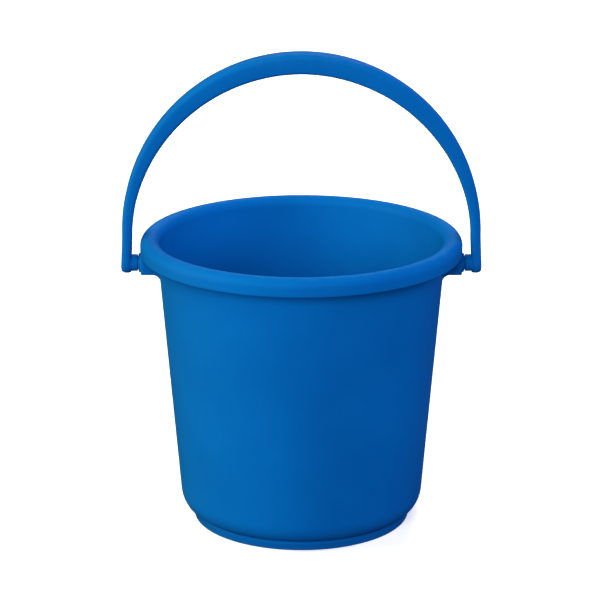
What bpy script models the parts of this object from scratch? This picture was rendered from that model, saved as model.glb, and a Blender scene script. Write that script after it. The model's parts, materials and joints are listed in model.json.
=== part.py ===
"""Round moulded plastic bucket with a bail handle that swings over its rim.

Two mouldings: bucket_body (wall, floor, foot ring, rim, two ears) and bail_handle (arch, arms,
bosses, snap pegs). The origin is the centre of the foot ring's underside, +Z is up, and the bail's
hinge runs along X. Run with: blender --background --python part.py
"""
from math import cos, pi, radians, sin, tau

import bmesh
import bpy
from mathutils import Matrix, Vector

MM = 0.001

# ---- Driving dimensions -------------------------------------------------------------------------

# Bucket
RIM_RADIUS = 120 * MM
RIM_TOP = 220 * MM
RIM_CREST_RADIUS = 113 * MM        # where the rim is highest
RIM_INNER_DROP = 7 * MM            # how far the rim's inner rounding reaches down
SKIRT_BOTTOM = 207 * MM            # lower edge of the rim's hanging skirt
WALL_FOOT_RADIUS = 91.9 * MM       # outside of the wall, just above the rounded corner
WALL_FOOT_HEIGHT = 24 * MM
WALL_SLOPE = 0.084                 # outward lean, radius gained per height
WALL_THICKNESS = 2 * MM
FLOOR_THICKNESS = 2.2 * MM
CORNER_RADIUS = 80.8 * MM          # where the rounded corner meets the foot ring
FOOT_RADIUS = 81.7 * MM
FOOT_HEIGHT = 7.6 * MM
FOOT_THICKNESS = 2.6 * MM
GROOVE_INSET = 0.2 * MM            # groove between the rounded corner and the foot ring
GROOVE_TOP = 0.6 * MM              # its upper and lower edges, below the floor's underside
GROOVE_BOTTOM = 1.2 * MM
EDGE_ROUNDING = 0.6 * MM

# Ears that carry the bail
PIVOT_HEIGHT = 198 * MM
EAR_FACE = 119.6 * MM              # outer face, measured from the bucket's axis
EAR_INSIDE = 117.6 * MM            # inner face of the same plate
EAR_BOTTOM = 191 * MM
EAR_HALF_WIDTH = 10.5 * MM
EAR_LEDGE = 110.5 * MM             # where the ear's lower edge starts to curve into the wall
EAR_FILLET_HEIGHT = 6.5 * MM
PAD_FACE = 121.5 * MM              # raised ring round the pivot hole
PAD_RADIUS = 7.3 * MM
PAD_CHAMFER = 1.2 * MM
HOLE_RADIUS = 4.4 * MM

# Bail handle
ARCH_HALF_WIDTH = 133.3 * MM       # outer ellipse of the arch
ARCH_RISE = 134.8 * MM
ARCH_CENTRE_HEIGHT = 222.6 * MM
ARM_SPLAY = 1.1 * MM               # extra half width at the pivots
ARM_THICKNESS = 7.4 * MM
CROWN_THICKNESS = 14.6 * MM
SHOULDER_SWELL = 0.075             # extra fullness of the arch between arm and crown
ARM_DEPTH = 15.4 * MM              # front to back
CROWN_DEPTH = 20 * MM
EDGE_RADIUS = 4 * MM               # roundness of the bar's section
CHANNEL_WEB = 3 * MM               # material left behind the channel
CHANNEL_FLANGE = 3 * MM            # material left at each side of the channel
RIB_THICKNESS = 1.6 * MM
POCKET_COUNT = 11
CHANNEL_START = radians(12)        # the channel stops this far above each end of the arch
SPLAY_CURVE = 1.5                  # power that bends the arms outwards near the pivots

# Pegs: bosses, necks and snap heads on the pivot axis
BOSS_RADIUS = 6.35 * MM
NECK_RADIUS = 4 * MM
HEAD_RADIUS = 5.2 * MM
HEAD_TIP_RADIUS = 3.2 * MM
HEAD_LENGTH = 4 * MM
HEAD_EDGE = 0.6 * MM
END_ROUNDING = 3.2 * MM            # outer edge of the arm's round end
END_CHAMFER = 1 * MM               # inner edge of the same end
END_PROUD = 0.1 * MM               # how far the round end stands out of the arm's faces
SIDE_GAP = 0.5 * MM                # play between ear and peg, on each side of the ear
SPLIT_WIDTH = 1.8 * MM

# Modelling allowances
BURIED = 1.2 * MM                  # how deep a joined shape reaches into its neighbour
OVERSHOOT = 2 * MM                 # how far a cutter reaches past what it cuts
FULLEST_ROUNDING = 0.49            # largest corner radius, as a share of the bar's thickness

# Smoothness
TURNED_STEPS = 64
PEG_STEPS = 28
ARM_STEPS = 4
ARCH_STEPS = 52
SECTION_ARC_STEPS = 4
POCKET_STEPS = 4
CORNER_STEPS = 7
CREST_STEPS = 6
FILLET_STEPS = 5
END_STEPS = 4
SMOOTH_ANGLE = radians(35)

BLUE = (0.004, 0.125, 0.445, 1.0)


# ---- Modelling helpers --------------------------------------------------------------------------

def clear_scene():
    """Start from an empty scene."""
    for old in list(bpy.data.objects):
        bpy.data.objects.remove(old, do_unlink=True)


def plastic(name):
    """Satin blue moulded plastic."""
    material = bpy.data.materials.new(name)
    material.use_nodes = True
    shader = material.node_tree.nodes["Principled BSDF"]
    shader.inputs["Base Color"].default_value = BLUE
    shader.inputs["Roughness"].default_value = 0.38
    shader.inputs["Metallic"].default_value = 0.0
    return material


def ellipse_arc(centre, radii, start, end, steps):
    """Points on an ellipse from one angle to another, both ends included."""
    angles = (start + (end - start) * i / steps for i in range(steps + 1))
    return [(centre[0] + radii[0] * cos(a), centre[1] + radii[1] * sin(a)) for a in angles]


def finish_object(name, bm):
    """Turn a bmesh into an object in the scene, faces out and shaded smooth between sharp edges."""
    bmesh.ops.recalc_face_normals(bm, faces=bm.faces)
    mesh = bpy.data.meshes.new(name)
    bm.to_mesh(mesh)
    bm.free()
    mesh.shade_smooth()
    mesh.set_sharp_from_angle(angle=SMOOTH_ANGLE)
    made = bpy.data.objects.new(name, mesh)
    bpy.context.collection.objects.link(made)
    return made


def turned(name, profile, axis, steps):
    """Spin (radius, height) points about an axis through the origin; both ends lie on the axis."""
    axis = Vector(axis)
    across = axis.orthogonal().normalized()
    bm = bmesh.new()
    points = [bm.verts.new(across * radius + axis * height) for radius, height in profile]
    edges = [bm.edges.new(pair) for pair in zip(points, points[1:])]
    bmesh.ops.spin(bm, geom=points + edges, cent=(0, 0, 0), axis=axis, dvec=(0, 0, 0),
                   angle=tau, steps=steps, use_merge=True, use_duplicate=False)
    bmesh.ops.remove_doubles(bm, verts=bm.verts, dist=0.001 * MM)
    return finish_object(name, bm)


def extruded(name, outline, low, high):
    """Extrude an outline of (x, z) points along Y, from low to high."""
    bm = bmesh.new()
    face = bm.faces.new([bm.verts.new((x, low, z)) for x, z in outline])
    far_side = bmesh.ops.extrude_face_region(bm, geom=[face])["geom"]
    moved = [item for item in far_side if isinstance(item, bmesh.types.BMVert)]
    bmesh.ops.translate(bm, verts=moved, vec=(0, high - low, 0))
    return finish_object(name, bm)


def box(name, low, high):
    """A plain box between two corners."""
    bm = bmesh.new()
    bmesh.ops.create_cube(bm, size=1)
    bmesh.ops.scale(bm, verts=bm.verts, vec=Vector(high) - Vector(low))
    bmesh.ops.translate(bm, verts=bm.verts, vec=(Vector(high) + Vector(low)) / 2)
    return finish_object(name, bm)


def loft(bm, rings):
    """Skin a row of matching closed rings and cap both ends."""
    loops = [[bm.verts.new(point) for point in ring] for ring in rings]
    for near, far in zip(loops, loops[1:]):
        for i in range(len(near)):
            j = (i + 1) % len(near)
            bm.faces.new((near[i], near[j], far[j], far[i]))
    bm.faces.new(loops[0])
    bm.faces.new(list(reversed(loops[-1])))


def combine(target, tool, operation):
    """Boolean the tool into the target and keep the tool as a hidden guide."""
    step = target.modifiers.new(f"{operation.lower()} {tool.name}", "BOOLEAN")
    step.operation = operation
    step.object = tool
    tool.hide_render = True
    tool.display_type = "WIRE"


def mirrored(name, source):
    """A copy of an object, modifiers included, on the other side of the YZ plane."""
    bpy.context.view_layer.update()
    shape = source.evaluated_get(bpy.context.evaluated_depsgraph_get())
    bm = bmesh.new()
    bm.from_mesh(shape.to_mesh())
    shape.to_mesh_clear()
    bmesh.ops.transform(bm, matrix=Matrix.Diagonal((-1, 1, 1, 1)), verts=bm.verts)
    twin = finish_object(name, bm)
    twin.location = source.location
    return twin


# ---- Bucket -------------------------------------------------------------------------------------

def wall_radius(height):
    """Outside radius of the tapered wall."""
    return WALL_FOOT_RADIUS + WALL_SLOPE * (height - WALL_FOOT_HEIGHT)


def rim_arcs(inset):
    """The rim's outer and inner roundings, moved inwards by an inset: two lists from outside to inside."""
    outer_span = RIM_RADIUS - RIM_CREST_RADIUS
    outer_centre = (RIM_CREST_RADIUS, RIM_TOP - outer_span)
    outer_radii = (outer_span - inset, outer_span - inset)
    inner_centre = (RIM_CREST_RADIUS, RIM_TOP - RIM_INNER_DROP)
    inner_span = RIM_CREST_RADIUS - (wall_radius(inner_centre[1]) - WALL_THICKNESS)
    inner_radii = (inner_span - inset, RIM_INNER_DROP - inset)
    outer = ellipse_arc(outer_centre, outer_radii, 0, pi / 2, CREST_STEPS)
    inner = ellipse_arc(inner_centre, inner_radii, pi / 2, pi, CREST_STEPS - 1)
    return outer, inner


def bucket_profile():
    """(radius, height) points: floor, inside wall, over the rim, outside wall, foot ring, underside."""
    corner_centre = (CORNER_RADIUS, WALL_FOOT_HEIGHT)
    corner_radii = (WALL_FOOT_RADIUS - CORNER_RADIUS, WALL_FOOT_HEIGHT - FOOT_HEIGHT)
    inner_radii = (corner_radii[0] - WALL_THICKNESS, corner_radii[1] - FLOOR_THICKNESS)
    floor_top = FOOT_HEIGHT + FLOOR_THICKNESS
    foot_inside = FOOT_RADIUS - FOOT_THICKNESS
    crest_outer, crest_inner = rim_arcs(0)
    roof_outer, roof_inner = rim_arcs(WALL_THICKNESS)
    skirt_inside = RIM_RADIUS - WALL_THICKNESS

    inside = [(0, floor_top)]
    inside += ellipse_arc(corner_centre, inner_radii, -pi / 2, 0, CORNER_STEPS - 1)
    over_rim = list(reversed(crest_inner)) + list(reversed(crest_outer))[1:]
    skirt = [(RIM_RADIUS, SKIRT_BOTTOM + EDGE_ROUNDING), (RIM_RADIUS - EDGE_ROUNDING, SKIRT_BOTTOM),
             (skirt_inside, SKIRT_BOTTOM)]
    behind_skirt = roof_outer + roof_inner[1:]
    corner = list(reversed(ellipse_arc(corner_centre, corner_radii, -pi / 2, 0, CORNER_STEPS)))
    groove = [(CORNER_RADIUS - GROOVE_INSET, FOOT_HEIGHT - GROOVE_TOP),
              (FOOT_RADIUS, FOOT_HEIGHT - GROOVE_BOTTOM)]
    foot = [(FOOT_RADIUS, EDGE_ROUNDING), (FOOT_RADIUS - EDGE_ROUNDING, 0),
            (foot_inside + EDGE_ROUNDING, 0), (foot_inside, EDGE_ROUNDING)]
    underside = [(foot_inside, FOOT_HEIGHT), (0, FOOT_HEIGHT)]
    return inside + over_rim + skirt + behind_skirt + corner + groove + foot + underside


def ear_outline():
    """(x, z) outline of the ear from the side, its hidden edges buried in the rim and the wall."""
    crest_outer, crest_inner = rim_arcs(WALL_THICKNESS / 2)
    fillet_width = EAR_LEDGE - wall_radius(EAR_BOTTOM)
    fillet_bottom = EAR_BOTTOM - EAR_FILLET_HEIGHT
    fillet = ellipse_arc((EAR_LEDGE, fillet_bottom), (fillet_width, EAR_FILLET_HEIGHT),
                         pi / 2, pi, FILLET_STEPS)
    wall_side = [(wall_radius(fillet_bottom) - BURIED, fillet_bottom)]
    top = RIM_TOP - (RIM_RADIUS - RIM_CREST_RADIUS) - WALL_THICKNESS / 2
    face = [(EAR_FACE, top), (EAR_FACE, EAR_BOTTOM)]
    return face + fillet + wall_side + list(reversed(crest_inner)) + list(reversed(crest_outer))[1:]


def pad():
    """Raised ring round the pivot hole, chamfered at its outer edge."""
    root = RIM_RADIUS - WALL_THICKNESS / 2
    profile = [(0, root), (PAD_RADIUS, root), (PAD_RADIUS, PAD_FACE - PAD_CHAMFER),
               (PAD_RADIUS - PAD_CHAMFER, PAD_FACE), (0, PAD_FACE)]
    made = turned("pad", profile, (1, 0, 0), PEG_STEPS)
    made.location.z = PIVOT_HEIGHT
    return made


def hole_cutter():
    """Round hole through the pad and the plate behind it."""
    start = RIM_CREST_RADIUS
    end = PAD_FACE + OVERSHOOT
    made = turned("hole", [(0, start), (HOLE_RADIUS, start), (HOLE_RADIUS, end), (0, end)],
                  (1, 0, 0), PEG_STEPS)
    made.location.z = PIVOT_HEIGHT
    made.rotation_euler.x = pi / PEG_STEPS      # its corners fall between the pad's
    return made


def right_ear():
    """Front plate and two cheeks, with the hollow between them, the pad and the pivot hole."""
    ear = extruded("ear", ear_outline(), -EAR_HALF_WIDTH, EAR_HALF_WIDTH)
    inside_half = EAR_HALF_WIDTH - WALL_THICKNESS
    inside_wall = wall_radius(0)
    hollow = box("ear_hollow", (inside_wall, -inside_half, WALL_FOOT_HEIGHT),
                 (EAR_INSIDE, inside_half, RIM_TOP + OVERSHOOT))
    combine(ear, hollow, "DIFFERENCE")
    combine(ear, pad(), "UNION")
    combine(ear, hole_cutter(), "DIFFERENCE")
    return ear


def build_bucket():
    """Turned body with an ear joined on each side."""
    bucket = turned("bucket_body", bucket_profile(), (0, 0, 1), TURNED_STEPS)
    ear = right_ear()
    combine(bucket, ear, "UNION")
    combine(bucket, mirrored("ear_left", ear), "UNION")
    bucket.data.materials.append(plastic("bucket plastic"))
    return bucket


# ---- Bail handle --------------------------------------------------------------------------------

def arch_station(turn):
    """Outer point, outward direction and size of the bar at a turn from 0 (right) to pi (left)."""
    point = Vector((ARCH_HALF_WIDTH * cos(turn), 0, ARCH_CENTRE_HEIGHT + ARCH_RISE * sin(turn)))
    outward = Vector((cos(turn) / ARCH_HALF_WIDTH, 0, sin(turn) / ARCH_RISE)).normalized()
    growth = sin(turn) + SHOULDER_SWELL * abs(sin(2 * turn))
    thickness = ARM_THICKNESS + (CROWN_THICKNESS - ARM_THICKNESS) * growth
    depth = ARM_DEPTH + (CROWN_DEPTH - ARM_DEPTH) * sin(turn)
    return point, outward, thickness, depth


def arm_station(height, side):
    """The same for an arm below the arch: side is 1 on the right and -1 on the left."""
    fall = (ARCH_CENTRE_HEIGHT - height) / (ARCH_CENTRE_HEIGHT - PIVOT_HEIGHT)
    point = Vector((side * (ARCH_HALF_WIDTH + ARM_SPLAY * fall ** SPLAY_CURVE), 0, height))
    return point, Vector((side, 0, 0)), ARM_THICKNESS, ARM_DEPTH


def bar_ring(station):
    """Rounded rectangle across the bar, its outer side on the station's point."""
    point, outward, thickness, depth = station
    rounding = min(EDGE_RADIUS, FULLEST_ROUNDING * thickness)
    flat_out = thickness / 2 - rounding
    flat_deep = depth / 2 - rounding
    ring = []
    for quarter in range(4):
        sign_out = 1 if quarter in (0, 3) else -1
        sign_deep = 1 if quarter in (0, 1) else -1
        corner = (sign_out * flat_out, sign_deep * flat_deep)
        for out, deep in ellipse_arc(corner, (rounding, rounding), quarter * pi / 2,
                                     (quarter + 1) * pi / 2, SECTION_ARC_STEPS):
            ring.append(point + outward * (out - thickness / 2) + Vector((0, deep, 0)))
    return ring


def channel_ring(station):
    """Rectangle across the channel, open past the bar's inner side."""
    point, outward, thickness, depth = station
    half_depth = depth / 2 - CHANNEL_FLANGE
    past_inside = thickness + OVERSHOOT
    corners = ((CHANNEL_WEB, half_depth), (past_inside, half_depth),
               (past_inside, -half_depth), (CHANNEL_WEB, -half_depth))
    return [point - outward * inwards + Vector((0, deep, 0)) for inwards, deep in corners]


def bar():
    """The whole arch with both arms, solid."""
    drop = (ARCH_CENTRE_HEIGHT - PIVOT_HEIGHT) / ARM_STEPS
    right = [arm_station(PIVOT_HEIGHT + i * drop, 1) for i in range(ARM_STEPS)]
    arch = [arch_station(pi * i / ARCH_STEPS) for i in range(ARCH_STEPS + 1)]
    left = [arm_station(PIVOT_HEIGHT + i * drop, -1) for i in reversed(range(ARM_STEPS))]
    bm = bmesh.new()
    loft(bm, [bar_ring(station) for station in right + arch + left])
    return finish_object("bail_handle", bm)


def pockets():
    """The channel along the inner side of the arch, interrupted by ribs."""
    span = (pi - 2 * CHANNEL_START) / POCKET_COUNT
    rib = RIB_THICKNESS / (ARCH_RISE - CROWN_THICKNESS)
    bm = bmesh.new()
    for i in range(POCKET_COUNT):
        start = CHANNEL_START + i * span + rib / 2
        length = span - rib
        loft(bm, [channel_ring(arch_station(start + length * j / POCKET_STEPS))
                  for j in range(POCKET_STEPS + 1)])
    return finish_object("pockets", bm)


def peg():
    """Snap head, neck, boss and the round end of the arm, turned about the pivot axis."""
    shoulder = EAR_INSIDE - SIDE_GAP
    tip = shoulder - HEAD_LENGTH
    boss_face = PAD_FACE + SIDE_GAP
    arm_outside = ARCH_HALF_WIDTH + ARM_SPLAY + END_PROUD
    arm_inside = arm_outside - ARM_THICKNESS - 2 * END_PROUD
    end_radius = ARM_DEPTH / 2
    head = [(0, tip), (HEAD_TIP_RADIUS, tip), (HEAD_RADIUS, shoulder - HEAD_EDGE), (HEAD_RADIUS, shoulder)]
    neck = [(NECK_RADIUS, shoulder), (NECK_RADIUS, boss_face)]
    boss = [(BOSS_RADIUS, boss_face), (BOSS_RADIUS, arm_inside)]
    end = [(end_radius - END_CHAMFER, arm_inside), (end_radius, arm_inside + END_CHAMFER)]
    end += ellipse_arc((end_radius - END_ROUNDING, arm_outside - END_ROUNDING),
                       (END_ROUNDING, END_ROUNDING), 0, pi / 2, END_STEPS)
    profile = head + neck + boss + end + [(0, arm_outside)]
    made = turned("peg", profile, (1, 0, 0), PEG_STEPS)
    made.location.z = PIVOT_HEIGHT
    return made


def split_cutter():
    """Upright slot that lets the snap head spring shut as it goes through the ear."""
    reach = HEAD_RADIUS + OVERSHOOT
    head_tip = EAR_INSIDE - SIDE_GAP - HEAD_LENGTH
    made = box("head_split", (head_tip - OVERSHOOT, -SPLIT_WIDTH / 2, -reach),
               (RIM_RADIUS, SPLIT_WIDTH / 2, reach))
    made.location.z = PIVOT_HEIGHT
    return made


def build_handle():
    """Solid bar, channelled between its ribs, with a split peg joined on each side."""
    handle = bar()
    combine(handle, pockets(), "DIFFERENCE")
    for tool, operation in ((peg(), "UNION"), (split_cutter(), "DIFFERENCE")):
        combine(handle, tool, operation)
        combine(handle, mirrored(f"{tool.name}_left", tool), operation)
    handle.data.materials.append(plastic("handle plastic"))
    return handle


def put_on_hinge(handle):
    """Hang the handle from an empty on its swing axis."""
    hinge = bpy.data.objects.new("bail_hinge", None)
    hinge.location = (0, 0, PIVOT_HEIGHT)
    bpy.context.collection.objects.link(hinge)
    handle.parent = hinge
    handle.matrix_parent_inverse = Matrix.Translation((0, 0, -PIVOT_HEIGHT))


clear_scene()
build_bucket()
put_on_hinge(build_handle())
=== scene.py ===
"""Looks of the sand bucket: two fine mouldings in satin blue plastic on a plain pale floor.

moulded_bucket stands for the CAD node bucket_body and moulded_bail for bail_handle. Both are worked
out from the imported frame's boxes and hinge, and from the same section sizes as the CAD. Lengths are in
metres, with +Z up, and the bail's axis runs along X.
"""

import json
from math import cos, pi, radians, sin, sqrt, tau

import bmesh
import bpy
from mathutils import Matrix, Vector


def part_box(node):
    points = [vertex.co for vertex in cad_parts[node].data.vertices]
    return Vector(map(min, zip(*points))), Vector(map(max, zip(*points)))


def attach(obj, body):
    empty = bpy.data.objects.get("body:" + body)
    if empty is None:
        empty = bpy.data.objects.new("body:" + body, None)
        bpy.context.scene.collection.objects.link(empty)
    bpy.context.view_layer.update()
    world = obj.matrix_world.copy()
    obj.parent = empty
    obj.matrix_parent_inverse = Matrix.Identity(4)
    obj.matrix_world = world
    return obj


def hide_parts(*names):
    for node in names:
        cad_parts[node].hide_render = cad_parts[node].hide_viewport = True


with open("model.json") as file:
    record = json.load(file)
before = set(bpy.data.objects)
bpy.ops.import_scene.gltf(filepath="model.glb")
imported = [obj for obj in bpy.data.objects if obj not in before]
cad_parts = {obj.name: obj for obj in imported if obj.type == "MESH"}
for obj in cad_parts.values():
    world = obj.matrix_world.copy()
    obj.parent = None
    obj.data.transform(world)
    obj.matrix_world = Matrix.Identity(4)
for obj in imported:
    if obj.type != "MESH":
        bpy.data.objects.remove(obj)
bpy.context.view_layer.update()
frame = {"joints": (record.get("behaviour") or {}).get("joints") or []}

MM = 0.001

# ---- Places and sizes read from the frame -------------------------------------------------------

END_PROUD = 0.1 * MM                 # how far the CAD's round ends stand out of the arms

bucket_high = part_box("bucket_body")[1]
bail_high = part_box("bail_handle")[1]

PIVOT_HEIGHT = frame["joints"][0]["pos_m"][2]
RIM_RADIUS = bucket_high.y
RIM_TOP = bucket_high.z
PAD_FACE = bucket_high.x             # outer face of the raised ring round the pivot hole
ARM_OUTSIDE = bail_high.x - END_PROUD
ARCH_TOP = bail_high.z
CROWN_DEPTH = 2 * bail_high.y        # front to back

# ---- Section sizes ------------------------------------------------------------------------------

# Rim
RIM_ROUNDING = 7 * MM                # how far in from the outside the rim is highest
CREST_RADIUS = RIM_RADIUS - RIM_ROUNDING
RIM_SPAN = RIM_RADIUS - CREST_RADIUS
INNER_DROP = 7 * MM                  # how far the rim's inner rounding reaches down
SKIRT_BOTTOM = RIM_TOP - 13 * MM     # lower edge of the rim's hanging skirt
LIP_ROUNDING = 0.7 * MM              # on the lower edges of skirt and ears

# Wall, floor and foot ring
WALL = 2 * MM
WALL_SLOPE = 0.084                   # outward lean, radius gained per height
WALL_FOOT_RADIUS = 91.9 * MM         # outside of the wall, just above the rounded corner
WALL_FOOT_HEIGHT = 24 * MM
CORNER_RADIUS = 80.8 * MM            # where the rounded corner meets the foot ring
CORNER_END = radians(-7)             # where it runs into the leaning wall
FOOT_RADIUS = 81.7 * MM
FOOT_HEIGHT = 7.6 * MM
FOOT_THICKNESS = 2.6 * MM
FOOT_EDGE = 0.8 * MM                 # rounding of the foot ring's edges
FOOT_FILLET = 1 * MM                 # between the foot ring's inside and the floor's underside
GROOVE_RADIUS = 0.5 * MM             # groove between the rounded corner and the foot ring
GROOVE_SHIFT = 0.3 * MM              # its middle, outwards from the corner's end
FLOOR = 2.2 * MM

# Underside of the floor
RING_STEP_RADIUS = 58 * MM
DIMPLE_RADIUS = 11 * MM
STUB_RADIUS = 2.2 * MM               # stub of the moulding gate
STEP_WIDTH = 0.8 * MM                # slant of the ring step and of the dimple's side
STEP_RISE = 0.7 * MM
DIMPLE_RISE = 0.5 * MM
STUB_BASE = 0.3 * MM                 # how much wider the stub is where it starts
STUB_BEND = 0.2 * MM                 # how far below the ring step its edge starts to round
STUB_EDGE = 0.4 * MM
STUB_DROP = 0.5 * MM

# Ears
EAR_BOTTOM = PIVOT_HEIGHT - 7 * MM
EAR_HALF_WIDTH = 10.5 * MM
EAR_INSIDE = RIM_RADIUS - 2.4 * MM   # inner face of the ear's plate
EAR_LEDGE = RIM_RADIUS - 9.5 * MM    # where the ear's lower edge starts to curve into the wall
EAR_FILLET_HEIGHT = 6.5 * MM
CHEEK_START = RIM_RADIUS - 9 * MM    # where the cheeks leave the wall, at the top
CHEEK_SWEEP = 4.2 * MM               # how far the cheeks' upper edge curves back from there
CHEEK_RISE = 6 * MM                  # and how far it climbs on the way
CHEEK_PLACES = (1.5 * MM, 3.5 * MM, 5.5 * MM)    # straight part, outwards from its start
CHEEK_LAG = 0.4 * MM                 # the cheek's inner face lies this much further in
CHEEK_STEPS = 10
EAR_CORNER = 1.7 * MM                # rounding between cheek and plate, outside
EAR_INNER_CORNER = 0.6 * MM
EAR_LIP_SHARE = 0.35                 # share of the strip's thickness that its lower edge rounds
FLUSH_COLUMNS = 3                    # the plate shares this many of the wall's columns each side

# Pivot pad and hole
PAD_RADIUS = 7.2 * MM
PAD_ROUNDING = 0.9 * MM
PAD_FLARE = 0.4 * MM                 # fillet between the pad and the ear's plate
HOLE_RADIUS = 4.4 * MM
HOLE_FLARE = 0.5 * MM                # chamfer at the hole's mouth
FLARE_BEND = 0.3                     # share of a flare's width left at its bend
PAD_FLAT = 0.7 * MM                  # where the pad's face starts, outwards from the hole
HOLE_TWIST = radians(1.3)            # keeps the cutter's columns off the pad's
HAIR = 0.01 * MM                     # keeps two faces from lying on each other

# Bail
ARM_SPLAY = 1.1 * MM                 # extra half width at the pivots
SPLAY_CURVE = 1.5                    # power that bends the arms outwards near the pivots
ARCH_HALF_WIDTH = ARM_OUTSIDE - ARM_SPLAY
ARCH_RISE = 134.8 * MM
ARCH_CENTRE = ARCH_TOP - ARCH_RISE
ARM_THICKNESS = 7.4 * MM
CROWN_THICKNESS = 14.6 * MM
SHOULDER_SWELL = 0.075               # extra fullness of the arch between arm and crown
ARM_DEPTH = 15.4 * MM                # front to back
EDGE_RADIUS = 4 * MM                 # roundness of the bar's outer edges
INNER_EDGE_RADIUS = 2.6 * MM
FULLEST_ROUNDING = 0.49              # largest rounding, as a share of the bar's thickness or depth
END_SWING = radians(84)              # how far round the arm's round end is skinned
END_OUTER_EDGE = 3.2 * MM
END_INNER_EDGE = 1.2 * MM

# Channel and ribs on the inner side of the arch
WEB = 3 * MM                         # material left behind the channel
FLANGE = 3 * MM                      # material left at each side of it
CHANNEL_START = radians(12)          # the channel stops this far above each end of the arch
CHANNEL_LEAD = radians(1)            # it fades out this far below that, and is full this far above
CHANNEL_FADE = radians(5)
CHANNEL_LIP, LIP_SHARE = 0.6 * MM, 0.3      # rounding of its edges, and largest share of its depth
CHANNEL_NOOK, NOOK_SHARE = 1.0 * MM, 0.4    # the same where its floor meets its sides
SOLID_SIDE_SHARE, LEAST_SIDE_SHARE = 0.6, 0.1    # half width of the flat inner side where it is shut
RIB = 1.6 * MM
RIB_DROP = 0.3 * MM                  # the ribs stay this much below the channel's edges
RIB_ROOT = 0.5 * MM                  # how deep they reach into the bar
POCKETS = 11

# Pegs: boss, neck and split snap head
BOSS_RADIUS = 6.35 * MM
NECK_RADIUS = 4 * MM
HEAD_RADIUS = 5.2 * MM
HEAD_TIP_RADIUS = 3.2 * MM
HEAD_LENGTH = 4 * MM
HEAD_BAND = 0.8 * MM                 # from the head's widest place to its shoulder
HEAD_CHAMFER = 0.2 * MM
PEG_EDGE = 0.5 * MM
PEG_ROOT = 0.4 * MM                  # how much wider the boss gets inside the arm
PEG_ROOT_START = 1 * MM              # the depths between which it is that wide
PEG_ROOT_END = 2.3 * MM
SIDE_GAP = 0.5 * MM                  # play between ear and peg, on each side of the ear
SPLIT = 1.8 * MM
SPLIT_PLACE = 0.7                    # middle of the cut, as a share of the head's length

# Joined shapes
BURIED = 1.2 * MM                    # how deep a joined shape reaches into its neighbour
OVERSHOOT = 2 * MM                   # how far a cutter reaches past what it cuts

# Fineness
BUCKET_STEPS = 256
RIM_STEPS = 18
RIM_UNDERSIDE_STEPS = 10
INNER_CORNER_STEPS = 14
OUTER_CORNER_STEPS = 16
FLOOR_STEPS = 8
WALL_STEPS = 36
SKIRT_STEPS = 3
SMALL_STEPS = 5
EDGE_STEPS = 6
PAD_STEPS = 72
HOLE_STEPS = 60
PEG_STEPS = 64
ARCH_STEPS = 220
ARM_STEPS = 14
END_STEPS = 14
OUTER_EDGE_STEPS = 8
INNER_EDGE_STEPS = 7
CHANNEL_STEPS = 4
MERGE_DISTANCE = 0.001 * MM
SHARP_DEGREES = 32


# ---- Mesh helpers -------------------------------------------------------------------------------

def arc(centre, radii, start, end, steps):
    """Points on an ellipse from one angle to another, both ends included."""
    angles = [start + (end - start) * i / steps for i in range(steps + 1)]
    return [(centre[0] + radii[0] * cos(a), centre[1] + radii[1] * sin(a)) for a in angles]


def rounding(centre, radius, start, end, steps):
    """A circular arc, run from its end back to its start."""
    return arc(centre, (radius, radius), start, end, steps)[::-1]


def quarter_turn(steps):
    return [pi / 2 * i / steps for i in range(steps + 1)]


def line(start, end, steps):
    """Points between two ends, neither end included."""
    return [(start[0] + (end[0] - start[0]) * i / steps, start[1] + (end[1] - start[1]) * i / steps)
            for i in range(1, steps)]


def smoothstep(low, high, value):
    t = min(1, max(0, (value - low) / (high - low)))
    return t * t * (3 - 2 * t)


def new_object(name, bm):
    bmesh.ops.recalc_face_normals(bm, faces=bm.faces)
    mesh = bpy.data.meshes.new(name)
    bm.to_mesh(mesh)
    bm.free()
    made = bpy.data.objects.new(name, mesh)
    bpy.context.collection.objects.link(made)
    return made


def turned(name, profile, axis, steps, lift=0):
    """Spin (radius, height) points about an axis and raise the result."""
    axis = Vector(axis)
    across = axis.orthogonal().normalized()
    bm = bmesh.new()
    points = [bm.verts.new(across * radius + axis * height) for radius, height in profile]
    edges = [bm.edges.new(pair) for pair in zip(points, points[1:])]
    bmesh.ops.spin(bm, geom=points + edges, cent=(0, 0, 0), axis=axis, dvec=(0, 0, 0),
                   angle=tau, steps=steps, use_merge=True, use_duplicate=False)
    bmesh.ops.remove_doubles(bm, verts=bm.verts, dist=MERGE_DISTANCE)
    bmesh.ops.translate(bm, verts=bm.verts, vec=(0, 0, lift))
    return new_object(name, bm)


def loft(name, rings):
    """Skin a row of matching closed rings and close both ends with a fan."""
    bm = bmesh.new()
    loops = [[bm.verts.new(point) for point in ring] for ring in rings]
    for near, far in zip(loops, loops[1:]):
        for i in range(len(near)):
            j = (i + 1) % len(near)
            bm.faces.new((near[i], near[j], far[j], far[i]))
    for end in (loops[0], loops[-1]):
        middle = bm.verts.new(sum((v.co for v in end), Vector()) / len(end))
        for i in range(len(end)):
            bm.faces.new((end[i], end[(i + 1) % len(end)], middle))
    bmesh.ops.remove_doubles(bm, verts=bm.verts, dist=MERGE_DISTANCE)
    return new_object(name, bm)


def apply_boolean(target, tool, operation):
    """Join the tool to the target, or cut it out, and remove the tool."""
    step = target.modifiers.new("cut", "BOOLEAN")
    step.operation = operation
    step.object = tool
    bpy.context.view_layer.update()
    evaluated = target.evaluated_get(bpy.context.evaluated_depsgraph_get())
    result = bpy.data.meshes.new_from_object(evaluated)
    target.modifiers.clear()
    target.data = result
    bpy.data.objects.remove(tool)


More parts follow.
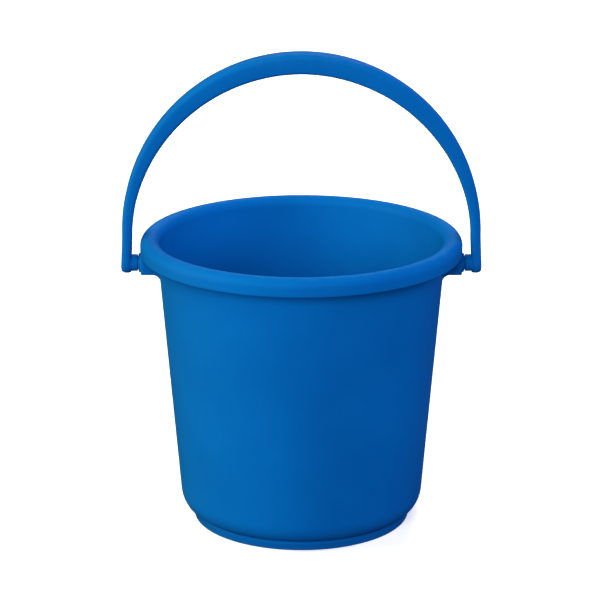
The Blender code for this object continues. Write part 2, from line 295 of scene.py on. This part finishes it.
def mirror_copy(source, name):
    bm = bmesh.new()
    bm.from_mesh(source.data)
    bmesh.ops.transform(bm, matrix=Matrix.Diagonal((-1, 1, 1, 1)), verts=bm.verts)
    return new_object(name, bm)


def shade(target):
    target.data.shade_smooth()
    target.data.set_sharp_from_angle(angle=radians(SHARP_DEGREES))


# ---- Bucket -------------------------------------------------------------------------------------

def wall_radius(height):
    return WALL_FOOT_RADIUS + WALL_SLOPE * (height - WALL_FOOT_HEIGHT)


def rim_arcs(inset, steps):
    """Outer and inner rounding of the rim, moved inwards by an inset, from outside to inside."""
    inner_span = CREST_RADIUS - (wall_radius(RIM_TOP - INNER_DROP) - WALL)
    outer = arc((CREST_RADIUS, RIM_TOP - RIM_SPAN), (RIM_SPAN - inset, RIM_SPAN - inset), 0, pi / 2, steps)
    inner = arc((CREST_RADIUS, RIM_TOP - INNER_DROP), (inner_span - inset, INNER_DROP - inset),
                pi / 2, pi, steps)
    return outer, inner


def bottom_corner(inset_side, inset_floor, steps):
    """Rounded corner between floor and wall, from the floor outwards; it ends along the wall's lean."""
    height = WALL_FOOT_HEIGHT - FOOT_HEIGHT - inset_floor
    top = WALL_FOOT_HEIGHT + height * sin(CORNER_END)
    width = (wall_radius(top) - inset_side - CORNER_RADIUS) / cos(CORNER_END)
    return arc((CORNER_RADIUS, WALL_FOOT_HEIGHT), (width, height), -pi / 2, CORNER_END, steps)


def bucket_profile():
    """(radius, height) points from the middle of the floor, over the rim, to the middle underneath."""
    crest_outer, crest_inner = rim_arcs(0, RIM_STEPS)
    roof_outer, roof_inner = rim_arcs(WALL, RIM_UNDERSIDE_STEPS)
    inner_corner = bottom_corner(WALL, FLOOR, INNER_CORNER_STEPS)
    outer_corner = bottom_corner(0, 0, OUTER_CORNER_STEPS)
    middle = (0, FOOT_HEIGHT + FLOOR)
    lip = LIP_ROUNDING
    edge = FOOT_EDGE
    foot_inside = FOOT_RADIUS - FOOT_THICKNESS
    groove_bottom = FOOT_HEIGHT - 2 * GROOVE_RADIUS

    inside = [middle] + line(middle, inner_corner[0], FLOOR_STEPS) + inner_corner
    inside += line(inner_corner[-1], crest_inner[-1], WALL_STEPS)
    over = crest_inner[::-1] + crest_outer[::-1][1:]
    skirt = line(over[-1], (RIM_RADIUS, SKIRT_BOTTOM + lip), SKIRT_STEPS)
    skirt += rounding((RIM_RADIUS - lip, SKIRT_BOTTOM + lip), lip, -pi / 2, 0, SMALL_STEPS)
    skirt += rounding((RIM_RADIUS - WALL + lip, SKIRT_BOTTOM + lip), lip, pi, 1.5 * pi, SMALL_STEPS)
    behind = roof_outer + roof_inner[1:]
    outside = line(behind[-1], outer_corner[-1], WALL_STEPS) + outer_corner[::-1]
    groove = arc((CORNER_RADIUS + GROOVE_SHIFT, FOOT_HEIGHT - GROOVE_RADIUS),
                 (GROOVE_RADIUS, GROOVE_RADIUS), pi / 2, 1.5 * pi, EDGE_STEPS)[1:]
    foot = rounding((FOOT_RADIUS - edge, groove_bottom - edge), edge, 0, pi / 2, SMALL_STEPS)
    foot += rounding((FOOT_RADIUS - edge, edge), edge, -pi / 2, 0, EDGE_STEPS)
    foot += rounding((foot_inside + edge, edge), edge, pi, 1.5 * pi, EDGE_STEPS)
    foot += arc((foot_inside - FOOT_FILLET, FOOT_HEIGHT - FOOT_FILLET), (FOOT_FILLET, FOOT_FILLET),
                0, pi / 2, SMALL_STEPS)
    return inside + over + skirt + behind + outside + groove + foot + hidden_base()


def hidden_base():
    """Underside of the floor: a shallow ring step, a dimple and the gate's stub in the middle."""
    low = FOOT_HEIGHT
    high = FOOT_HEIGHT + STEP_RISE
    points = [(RING_STEP_RADIUS + STEP_WIDTH, low), (RING_STEP_RADIUS, high)]
    points += [(DIMPLE_RADIUS + STEP_WIDTH, high), (DIMPLE_RADIUS, high + DIMPLE_RISE)]
    points += [(STUB_RADIUS + STUB_BASE, high + DIMPLE_RISE), (STUB_RADIUS, high - STUB_BEND)]
    points += [(STUB_RADIUS - STUB_EDGE, high - STUB_DROP), (0, high - STUB_DROP)]
    return points


def ear_station(outer, inner, top, bottom=EAR_BOTTOM, shift=0.0):
    """One place along the ear's strip: outer and inner plan points, and its upper and lower edge.

    The upper edge lies further along X than the lower edge by the shift.
    """
    return {"outer": outer, "inner": inner, "top": top, "bottom": bottom, "shift": shift}


def roof_height(x):
    """Height of the middle of the rim's skin, where the ear's hidden upper edge ends."""
    across = min(1, max(0, (x - CREST_RADIUS) / (RIM_SPAN - WALL / 2)))
    return RIM_TOP - RIM_SPAN - WALL / 2 + RIM_SPAN * sqrt(1 - across * across)


def cheek_stations():
    """From the wall out to where the cheek turns into the plate."""
    half_inside = EAR_HALF_WIDTH - WALL
    fillet_bottom = EAR_BOTTOM - EAR_FILLET_HEIGHT
    fillet_width = EAR_LEDGE - wall_radius(EAR_BOTTOM) + BURIED
    cheek = []
    for i in range(CHEEK_STEPS + 1):
        angle = pi - (pi / 2) * i / CHEEK_STEPS
        x_low = EAR_LEDGE + fillet_width * cos(angle)
        x_high = CHEEK_START + CHEEK_SWEEP * cos(angle)
        cheek.append(ear_station((x_low, EAR_HALF_WIDTH), (x_low, half_inside),
                                 RIM_TOP - INNER_DROP + CHEEK_RISE * sin(angle),
                                 fillet_bottom + EAR_FILLET_HEIGHT * sin(angle), x_high - x_low))
    for place in CHEEK_PLACES:
        x = CHEEK_START + place
        cheek.append(ear_station((x, EAR_HALF_WIDTH), (x - CHEEK_LAG, half_inside), roof_height(x)))
    return cheek


def plate_stations():
    """Round the corner and along the plate, which lies flush with the rim, to its middle."""
    half_inside = EAR_HALF_WIDTH - WALL
    column = tau / BUCKET_STEPS
    last = FLUSH_COLUMNS * column
    seam = (RIM_RADIUS * cos(last), RIM_RADIUS * sin(last))
    round_in = EAR_INNER_CORNER
    outside = arc((seam[0] - EAR_CORNER, seam[1]), (EAR_CORNER, EAR_HALF_WIDTH - seam[1]),
                  pi / 2, 0, EDGE_STEPS)
    within = arc((EAR_INSIDE - round_in, half_inside - round_in), (round_in, round_in),
                 pi / 2, 0, EDGE_STEPS)
    plate = [ear_station(outer, inner, roof_height(outer[0])) for outer, inner in zip(outside, within)]
    for j in range(FLUSH_COLUMNS - 1, -1, -1):
        outer = (RIM_RADIUS * cos(j * column), RIM_RADIUS * sin(j * column))
        inner_y = (half_inside - round_in) * j / FLUSH_COLUMNS
        plate.append(ear_station(outer, (EAR_INSIDE, inner_y), RIM_TOP - RIM_SPAN - WALL / 2))
    return plate


def ear_stations():
    """The strip runs along one cheek from the wall, round the plate and back along the other cheek."""
    one_half = cheek_stations() + plate_stations()
    other_half = [dict(s, outer=(s["outer"][0], -s["outer"][1]), inner=(s["inner"][0], -s["inner"][1]))
                  for s in reversed(one_half[:-1])]
    return one_half + other_half


def ear_ring(station):
    """Closed section through the strip: down the outside, round the lower edge, up the inside."""
    lip = LIP_ROUNDING
    bottom, top = station["bottom"], station["top"]
    section = [(0, bottom + lip + (top - bottom - lip) * (1 - i / EDGE_STEPS)) for i in range(EDGE_STEPS)]
    section += [(EAR_LIP_SHARE * (1 - cos(a)), bottom + lip - lip * sin(a))
                for a in quarter_turn(SMALL_STEPS)]
    section += [(1 - across, height) for across, height in reversed(section)]
    ring = []
    for across, height in section:
        x = station["outer"][0] + (station["inner"][0] - station["outer"][0]) * across
        y = station["outer"][1] + (station["inner"][1] - station["outer"][1]) * across
        rise = (height - bottom) / (top - bottom)
        ring.append((x + station["shift"] * rise, y, height))
    return ring


def pivot_pad():
    """Raised ring round the pivot hole."""
    root = RIM_RADIUS - BURIED
    foot = PAD_RADIUS + PAD_FLARE
    profile = [(0, root), (foot, root), (foot, RIM_RADIUS - PAD_FLARE)]
    profile += [(PAD_RADIUS + PAD_FLARE * FLARE_BEND, RIM_RADIUS), (PAD_RADIUS, RIM_RADIUS + PAD_FLARE)]
    profile += arc((PAD_RADIUS - PAD_ROUNDING, PAD_FACE - PAD_ROUNDING), (PAD_ROUNDING, PAD_ROUNDING),
                   0, pi / 2, EDGE_STEPS)
    profile += [(HOLE_RADIUS + PAD_FLAT, PAD_FACE), (0, PAD_FACE)]
    return turned("pad", profile, (1, 0, 0), PAD_STEPS, PIVOT_HEIGHT)


def pivot_hole():
    """Cutter for the hole, with a chamfer at its mouth."""
    start = CREST_RADIUS + OVERSHOOT
    end = PAD_FACE + OVERSHOOT
    bend = HOLE_FLARE * FLARE_BEND
    mouth = HOLE_RADIUS + HOLE_FLARE
    profile = [(0, start), (HOLE_RADIUS, start), (HOLE_RADIUS, PAD_FACE - HOLE_FLARE)]
    profile += [(HOLE_RADIUS + bend, PAD_FACE - bend), (mouth, PAD_FACE + HAIR), (mouth, end), (0, end)]
    hole = turned("hole", profile, (1, 0, 0), HOLE_STEPS)
    hole.data.transform(Matrix.Rotation(HOLE_TWIST, 4, "X"))
    hole.data.transform(Matrix.Translation((0, 0, PIVOT_HEIGHT)))
    return hole


def build_bucket():
    bucket = turned("moulded_bucket", bucket_profile(), (0, 0, 1), BUCKET_STEPS)
    ear = loft("ear", [ear_ring(station) for station in ear_stations()])
    apply_boolean(ear, pivot_pad(), "UNION")
    apply_boolean(ear, pivot_hole(), "DIFFERENCE")
    left = mirror_copy(ear, "ear_left")
    apply_boolean(bucket, ear, "UNION")
    apply_boolean(bucket, left, "UNION")
    shade(bucket)
    return bucket


# ---- Bail ---------------------------------------------------------------------------------------

def bail_ring(point, outward, thickness, depth, channel):
    """Section across the bar: rounded outside, and a channel of a given share open on the inside."""
    fullest = FULLEST_ROUNDING * depth
    round_out = min(EDGE_RADIUS, FULLEST_ROUNDING * thickness, fullest)
    round_in = min(INNER_EDGE_RADIUS, 2 * FULLEST_ROUNDING * thickness - round_out, fullest)
    half = depth / 2
    flat = half - round_out
    floor_at = thickness - channel * (thickness - WEB)
    lip = min(CHANNEL_LIP, LIP_SHARE * (thickness - floor_at))
    nook = min(CHANNEL_NOOK, NOOK_SHARE * (thickness - floor_at))
    side = min(half - FLANGE, SOLID_SIDE_SHARE * half) if channel <= 0 else half - FLANGE
    side = max(side, LEAST_SIDE_SHARE * half)
    path = [(0, q) for q in (0, 0.33 * flat, 0.66 * flat)]
    path += [(round_out - round_out * cos(a), flat + round_out * sin(a))
             for a in quarter_turn(OUTER_EDGE_STEPS)]
    path += [(thickness - round_in + round_in * sin(a), half - round_in + round_in * cos(a))
             for a in quarter_turn(INNER_EDGE_STEPS)]
    path += [(thickness - lip + lip * cos(a), side + lip - lip * sin(a))
             for a in quarter_turn(CHANNEL_STEPS)]
    path += [(floor_at + nook - nook * sin(a), side - nook + nook * cos(a))
             for a in quarter_turn(CHANNEL_STEPS)]
    path += [(floor_at, 0.5 * (side - nook)), (floor_at, 0)]
    mirrored = [(p, -q) for p, q in reversed(path[1:-1])]
    return [point - outward * p + Vector((0, q, 0)) for p, q in path + mirrored]


def arch_frame(turn):
    """Outer point, outward direction, thickness and depth at a turn from 0 (right) to pi (left)."""
    point = Vector((ARCH_HALF_WIDTH * cos(turn), 0, ARCH_CENTRE + ARCH_RISE * sin(turn)))
    outward = Vector((cos(turn) / ARCH_HALF_WIDTH, 0, sin(turn) / ARCH_RISE)).normalized()
    growth = sin(turn) + SHOULDER_SWELL * abs(sin(2 * turn))
    thickness = ARM_THICKNESS + (CROWN_THICKNESS - ARM_THICKNESS) * growth
    depth = ARM_DEPTH + (CROWN_DEPTH - ARM_DEPTH) * sin(turn)
    return point, outward, thickness, depth


def channel_share(turn):
    """How deep the channel is: it runs out smoothly at both ends of the arch."""
    from_end = min(turn, pi - turn)
    return smoothstep(CHANNEL_START - CHANNEL_LEAD, CHANNEL_START + CHANNEL_FADE, from_end)


def arm_rings():
    """Right arm from its rounded end, up past the pivot to the arch."""
    end_radius = ARM_DEPTH / 2
    rings = []
    for i in range(END_STEPS):
        swing = END_SWING * (1 - i / END_STEPS)
        below = end_radius * sin(swing)
        past_outer = max(0, below - (end_radius - END_OUTER_EDGE))
        past_inner = max(0, below - (end_radius - END_INNER_EDGE))
        retreat = END_OUTER_EDGE - sqrt(END_OUTER_EDGE ** 2 - past_outer ** 2)
        inner_retreat = END_INNER_EDGE - sqrt(END_INNER_EDGE ** 2 - past_inner ** 2)
        point = Vector((ARM_OUTSIDE - retreat, 0, PIVOT_HEIGHT - below))
        rings.append(bail_ring(point, Vector((1, 0, 0)), ARM_THICKNESS - retreat - inner_retreat,
                               2 * end_radius * cos(swing), 0))
    for i in range(ARM_STEPS):
        height = PIVOT_HEIGHT + (ARCH_CENTRE - PIVOT_HEIGHT) * i / ARM_STEPS
        splay = ARM_SPLAY * (1 - i / ARM_STEPS) ** SPLAY_CURVE
        point = Vector((ARCH_HALF_WIDTH + splay, 0, height))
        rings.append(bail_ring(point, Vector((1, 0, 0)), ARM_THICKNESS, ARM_DEPTH, 0))
    return rings


def bail_bar():
    right = arm_rings()
    turns = [pi * i / ARCH_STEPS for i in range(ARCH_STEPS + 1)]
    arch = [bail_ring(*arch_frame(turn), channel_share(turn)) for turn in turns]
    count = len(right[0])
    left = [[Vector((-ring[j].x, ring[j].y, ring[j].z)) for j in range(count)] for ring in reversed(right)]
    return loft("moulded_bail", right + arch + left)


def channel_ribs():
    """Thin cross ribs in the channel, a little lower than its edges."""
    span = (pi - 2 * CHANNEL_START) / POCKETS
    bm = bmesh.new()
    for i in range(1, POCKETS):
        point, outward, thickness, depth = arch_frame(CHANNEL_START + i * span)
        along = outward.cross(Vector((0, 1, 0)))
        height = thickness - WEB - RIB_DROP
        width = depth - 2 * FLANGE + 2 * RIB_ROOT
        middle = point - outward * (WEB - RIB_ROOT + height / 2)
        cube = bmesh.ops.create_cube(bm, size=1)["verts"]
        bmesh.ops.scale(bm, verts=cube, vec=(height, width, RIB))
        turn = Matrix((outward, Vector((0, 1, 0)), along)).transposed().to_4x4()
        bmesh.ops.transform(bm, matrix=Matrix.Translation(middle) @ turn, verts=cube)
    return new_object("ribs", bm)


def snap_peg():
    """Boss, neck and split snap head on the pivot axis, rooted in the arm."""
    shoulder = EAR_INSIDE - SIDE_GAP
    tip = shoulder - HEAD_LENGTH
    boss_face = PAD_FACE + SIDE_GAP
    arm_inside = ARM_OUTSIDE - ARM_THICKNESS
    root_radius = BOSS_RADIUS + PEG_ROOT
    profile = [(0, tip), (HEAD_TIP_RADIUS - PEG_EDGE, tip), (HEAD_TIP_RADIUS, tip + PEG_EDGE)]
    profile += [(HEAD_RADIUS, shoulder - HEAD_BAND), (HEAD_RADIUS, shoulder - HEAD_CHAMFER)]
    profile += [(HEAD_RADIUS - HEAD_CHAMFER, shoulder), (NECK_RADIUS, shoulder), (NECK_RADIUS, boss_face)]
    profile += arc((BOSS_RADIUS - PEG_EDGE, boss_face + PEG_EDGE), (PEG_EDGE, PEG_EDGE), 1.5 * pi, tau, 4)
    profile += [(BOSS_RADIUS, arm_inside - PEG_EDGE), (BOSS_RADIUS + FLARE_BEND * PEG_ROOT, arm_inside)]
    profile += [(root_radius, arm_inside + PEG_ROOT_START), (root_radius, arm_inside + PEG_ROOT_END)]
    profile += [(0, arm_inside + PEG_ROOT_END)]
    peg = turned("peg", profile, (1, 0, 0), PEG_STEPS, PIVOT_HEIGHT)
    bm = bmesh.new()
    bmesh.ops.create_cube(bm, size=1)
    bmesh.ops.scale(bm, verts=bm.verts, vec=(2 * HEAD_LENGTH, SPLIT, 3 * HEAD_RADIUS))
    place = (shoulder - HEAD_LENGTH * SPLIT_PLACE, 0, PIVOT_HEIGHT)
    bmesh.ops.translate(bm, verts=bm.verts, vec=place)
    apply_boolean(peg, new_object("split", bm), "DIFFERENCE")
    return peg


def build_bail():
    bail = bail_bar()
    apply_boolean(bail, channel_ribs(), "UNION")
    peg = snap_peg()
    left = mirror_copy(peg, "peg_left")
    apply_boolean(bail, peg, "UNION")
    apply_boolean(bail, left, "UNION")
    shade(bail)
    return bail


# ---- Materials ----------------------------------------------------------------------------------

BLUE = (0.0010, 0.109, 0.396, 1)
DEEP_BLUE = (0.0008, 0.096, 0.362, 1)
WORN_BLUE = (0.012, 0.145, 0.440, 1)
# Painted shade: the darker blue laid on the foot ring, next to the floor
PAINTED_SHADE_BLUE = (0.0012, 0.075, 0.290, 1)
SHEEN_TINT = (0.1, 0.5, 1.0, 1)

# Pairs of heights: wear, or the painted shade on the foot ring, goes from none at the first to full at the
# second
BUCKET_WEAR = ((2.5 * MM, 0), (RIM_TOP - 2 * MM, RIM_TOP))
BAIL_WEAR = ((PIVOT_HEIGHT - 1 * MM, PIVOT_HEIGHT - 8 * MM), (ARCH_TOP - 14 * MM, ARCH_TOP - 1 * MM))
# Painted shade on the foot ring: none at the first height, full at the second, towards the floor
FOOT_PAINTED_SHADE = (FOOT_HEIGHT - 1.5 * MM, FOOT_HEIGHT - 3.5 * MM)

# Sizes of the patterns, as noise scales: the larger the finer
CLOUDS = 14
SHADE_PATCHES = 60
WORN_PATCHES = 160
SCUFF_LINES = 900
SCUFF_STRETCH = 0.06                 # scuffs are drawn out along the height by its inverse
GRAIN = 1400
RIPPLES = 45

MOST_WORN = 0.28
SCUFF_PALENESS = 0.10
MARK_ROUGHNESS = 0.14                # what scuffs and wear add
SMOOTHEST, ROUGHEST = 0.48, 0.55
GRAIN_STRENGTH, GRAIN_HEIGHT = 0.35, 0.05 * MM
RIPPLE_STRENGTH, RIPPLE_HEIGHT = 0.25, 0.25 * MM
PLASTIC_SHEEN = 0.06
PLASTIC_IOR = 1.49

FLOOR_PATCHES = 3
FLOOR_SHADES = ((0.93, 0.93, 0.93, 1), (0.95, 0.95, 0.95, 1))
FLOOR_ROUGHNESS = 0.9
FLOOR_GLOW = 0.36                    # keeps the floor white where the softboxes light it less
FLOOR_SHEEN = 0.1
WHITE = (1, 1, 1, 1)


class Nodes:
    """Small helper that adds and joins shader nodes."""

    def __init__(self, material):
        material.use_nodes = True
        self.tree = material.node_tree
        self.shader = self.tree.nodes["Principled BSDF"]

    def add(self, kind, **settings):
        node = self.tree.nodes.new(kind)
        for key, value in settings.items():
            setattr(node, key, value)
        return node

    def join(self, source, target):
        self.tree.links.new(source, target)

    def object_place(self):
        return self.add("ShaderNodeTexCoord").outputs["Object"]

    def noise(self, place, scale, detail=2.0, roughness=0.5):
        node = self.add("ShaderNodeTexNoise")
        node.inputs["Scale"].default_value = scale
        node.inputs["Detail"].default_value = detail
        node.inputs["Roughness"].default_value = roughness
        self.join(place, node.inputs["Vector"])
        return node.outputs["Fac"]

    def remap(self, source, low, high, to_low, to_high):
        node = self.add("ShaderNodeMapRange")
        node.inputs["From Min"].default_value = low
        node.inputs["From Max"].default_value = high
        node.inputs["To Min"].default_value = to_low
        node.inputs["To Max"].default_value = to_high
        self.join(source, node.inputs["Value"])
        return node.outputs["Result"]

    def mix(self, factor, first, second):
        """Blend two colours; each is a socket or a plain colour."""
        node = self.add("ShaderNodeMix", data_type="RGBA")
        self.join(factor, node.inputs[0])
        for socket, colour in ((node.inputs[6], first), (node.inputs[7], second)):
            if isinstance(colour, tuple):
                socket.default_value = colour
            else:
                self.join(colour, socket)
        return node.outputs[2]

    def maths(self, operation, first, second):
        """Combine two values; each is a socket or a plain number."""
        node = self.add("ShaderNodeMath", operation=operation)
        for socket, value in zip(node.inputs, (first, second)):
            if isinstance(value, (int, float)):
                socket.default_value = value
            else:
                self.join(value, socket)
        return node.outputs[0]

    def bump(self, height, strength, distance, under=None):
        node = self.add("ShaderNodeBump")
        node.inputs["Strength"].default_value = strength
        node.inputs["Distance"].default_value = distance
        self.join(height, node.inputs["Height"])
        if under is not None:
            self.join(under, node.inputs["Normal"])
        return node.outputs["Normal"]


def moulded_plastic(name, wear_bands, painted_shade_band=None):
    """Satin polypropylene: faint mottling, spark-eroded grain, hairline scuffs, paler worn places, and,
    where a band is given, painted shade that darkens the foot ring.
    """
    material = bpy.data.materials.new(name)
    nodes = Nodes(material)
    place = nodes.object_place()
    cloudy = nodes.noise(place, CLOUDS, 3)
    body = nodes.mix(nodes.remap(cloudy, 0.35, 0.65, 0, 1), BLUE, DEEP_BLUE)
    parts = nodes.add("ShaderNodeSeparateXYZ")
    nodes.join(place, parts.inputs[0])
    height = parts.outputs["Z"]
    # Painted shade: the foot ring is darkened towards the floor, in uneven patches
    if painted_shade_band:
        shade_amount = nodes.remap(height, *painted_shade_band, 0, 1)
        uneven = nodes.remap(nodes.noise(place, SHADE_PATCHES, 3), 0.3, 0.7, 0.75, 1)
        body = nodes.mix(nodes.maths("MULTIPLY", shade_amount, uneven), body, PAINTED_SHADE_BLUE)

    stretched = nodes.add("ShaderNodeMapping")
    stretched.inputs["Scale"].default_value = (1, 1, SCUFF_STRETCH)
    nodes.join(place, stretched.inputs["Vector"])
    scuffs = nodes.remap(nodes.noise(stretched.outputs["Vector"], SCUFF_LINES, 2), 0.58, 0.72, 0, 1)

    bands = [nodes.remap(height, start, full, 0, 1) for start, full in wear_bands]
    patchy = nodes.remap(nodes.noise(place, WORN_PATCHES, 4, 0.6), 0.45, 0.65, 0, MOST_WORN)
    worn = nodes.maths("MULTIPLY", nodes.maths("MAXIMUM", *bands), patchy)
    pale = nodes.maths("MAXIMUM", worn, nodes.maths("MULTIPLY", scuffs, SCUFF_PALENESS))
    nodes.join(nodes.mix(pale, body, WORN_BLUE), nodes.shader.inputs["Base Color"])

    satin = nodes.remap(cloudy, 0.3, 0.7, SMOOTHEST, ROUGHEST)
    marks = nodes.maths("MULTIPLY", nodes.maths("MAXIMUM", scuffs, worn), MARK_ROUGHNESS)
    nodes.join(nodes.maths("ADD", satin, marks), nodes.shader.inputs["Roughness"])

    grain = nodes.bump(nodes.noise(place, GRAIN, 2), GRAIN_STRENGTH, GRAIN_HEIGHT)
    ripple = nodes.bump(nodes.noise(place, RIPPLES, 1), RIPPLE_STRENGTH, RIPPLE_HEIGHT, grain)
    nodes.join(ripple, nodes.shader.inputs["Normal"])
    nodes.shader.inputs["Specular IOR Level"].default_value = PLASTIC_SHEEN
    nodes.shader.inputs["Specular Tint"].default_value = SHEEN_TINT
    nodes.shader.inputs["IOR"].default_value = PLASTIC_IOR
    return material


def floor_material():
    material = bpy.data.materials.new("pale floor")
    nodes = Nodes(material)
    soft = nodes.remap(nodes.noise(nodes.object_place(), FLOOR_PATCHES, 2), 0.3, 0.7, 0, 1)
    nodes.join(nodes.mix(soft, *FLOOR_SHADES), nodes.shader.inputs["Base Color"])
    nodes.shader.inputs["Roughness"].default_value = FLOOR_ROUGHNESS
    nodes.shader.inputs["Emission Color"].default_value = WHITE
    nodes.shader.inputs["Emission Strength"].default_value = FLOOR_GLOW
    nodes.shader.inputs["Specular IOR Level"].default_value = FLOOR_SHEEN
    return material


# ---- Stage, light and camera --------------------------------------------------------------------

SOFTBOX_SIZE = 1.3
SOFTBOX_DISTANCE = 2.6
FLOOR_HALF_SIZE = 2.2                # the floor ends before it passes under the softboxes
FLOOR_CELLS = 12
FAINT_SKY = (0.45, 0.6, 1, 1)        # what lights the bucket from all round
FAINT_SKY_STRENGTH = 0.13

# Azimuth (0 in front, positive to the right), elevation, energy, colour, and whether it adds sheen.
# Without sheen a softbox lights the bucket, but draws no bright line along the rim's edges.
SOFTBOXES = {
    "front": (-8, 22, 64.5, (0.98, 0.98, 1.0), True),
    "key_low": (-80, 8, 38, (1.0, 1.0, 0.68), True),
    "key_high": (-80, 38, 42, (1.0, 1.0, 0.52), True),
    "right": (100, 22, 44, (0.80, 0.80, 1.0), False),
    "back": (175, 30, 42, (0.92, 0.92, 1.0), False),
    "above": (180, 74, 16, (1.0, 1.0, 1.0), False),
}

CAMERA_PITCH = radians(17.13)        # downwards
CAMERA_DISTANCE = 2.0
CAMERA_TARGET = Vector((-0.001, 0, 0.1687))
CAMERA_LENS = 160                    # in millimetres, like the sensor's width
CAMERA_SENSOR = 36


def pale_floor():
    bm = bmesh.new()
    bmesh.ops.create_grid(bm, x_segments=FLOOR_CELLS, y_segments=FLOOR_CELLS, size=FLOOR_HALF_SIZE)
    floor = new_object("floor", bm)
    floor.data.materials.append(floor_material())
    floor.visible_diffuse = False        # the floor throws no light up at the bucket
    floor.visible_glossy = False


def softbox(name, azimuth, elevation, energy, colour, sheen):
    """A square area light aimed at the bucket, which the camera doesn't see."""
    light = bpy.data.lights.new(name, "AREA")
    light.shape = "SQUARE"
    light.size = SOFTBOX_SIZE
    light.energy = energy
    light.color = colour
    made = bpy.data.objects.new(name, light)
    side, up = radians(azimuth), radians(elevation)
    away = Vector((sin(side) * cos(up), -cos(side) * cos(up), sin(up)))
    made.location = Vector((0, 0, 0.5 * ARCH_TOP)) + away * SOFTBOX_DISTANCE
    made.rotation_euler = away.to_track_quat("Z", "Y").to_euler()
    made.visible_camera = False
    made.visible_glossy = sheen
    bpy.context.collection.objects.link(made)


def pale_surroundings():
    """Surroundings that light the bucket only faintly, but are seen as a white backdrop."""
    world = bpy.data.worlds.new("studio")
    bpy.context.scene.world = world
    world.use_nodes = True
    tree = world.node_tree
    faint = tree.nodes["Background"]
    faint.inputs["Color"].default_value = FAINT_SKY
    faint.inputs["Strength"].default_value = FAINT_SKY_STRENGTH
    seen = tree.nodes.new("ShaderNodeBackground")
    seen.inputs["Color"].default_value = WHITE
    seen.inputs["Strength"].default_value = 1.0
    choose = tree.nodes.new("ShaderNodeMixShader")
    tree.links.new(tree.nodes.new("ShaderNodeLightPath").outputs["Is Camera Ray"], choose.inputs[0])
    tree.links.new(faint.outputs[0], choose.inputs[1])
    tree.links.new(seen.outputs[0], choose.inputs[2])
    tree.links.new(choose.outputs[0], tree.nodes["World Output"].inputs["Surface"])


def studio_camera():
    camera = bpy.data.cameras.new("camera")
    camera.lens = CAMERA_LENS
    camera.sensor_width = CAMERA_SENSOR
    made = bpy.data.objects.new("camera", camera)
    away = Vector((0, -cos(CAMERA_PITCH), sin(CAMERA_PITCH)))
    made.location = CAMERA_TARGET + away * CAMERA_DISTANCE
    made.rotation_euler = (pi / 2 - CAMERA_PITCH, 0, 0)
    bpy.context.collection.objects.link(made)
    bpy.context.scene.camera = made
    bpy.context.scene.view_settings.view_transform = "Standard"


# ---- Build --------------------------------------------------------------------------------------

# The bucket's marks are its wear bands and the painted shade on its foot ring
for piece, body, node, slot, marks in (
        (build_bucket(), "bucket", "bucket_body", "bucket_plastic", (BUCKET_WEAR, FOOT_PAINTED_SHADE)),
        (build_bail(), "handle", "bail_handle", "handle_plastic", (BAIL_WEAR,))):
    piece.data.materials.clear()
    piece.data.materials.append(moulded_plastic(slot.replace("_", " "), *marks))
    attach(piece, body)
    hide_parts(node)

pale_floor()
for box_name, settings in SOFTBOXES.items():
    softbox(box_name, *settings)
pale_surroundings()
studio_camera()
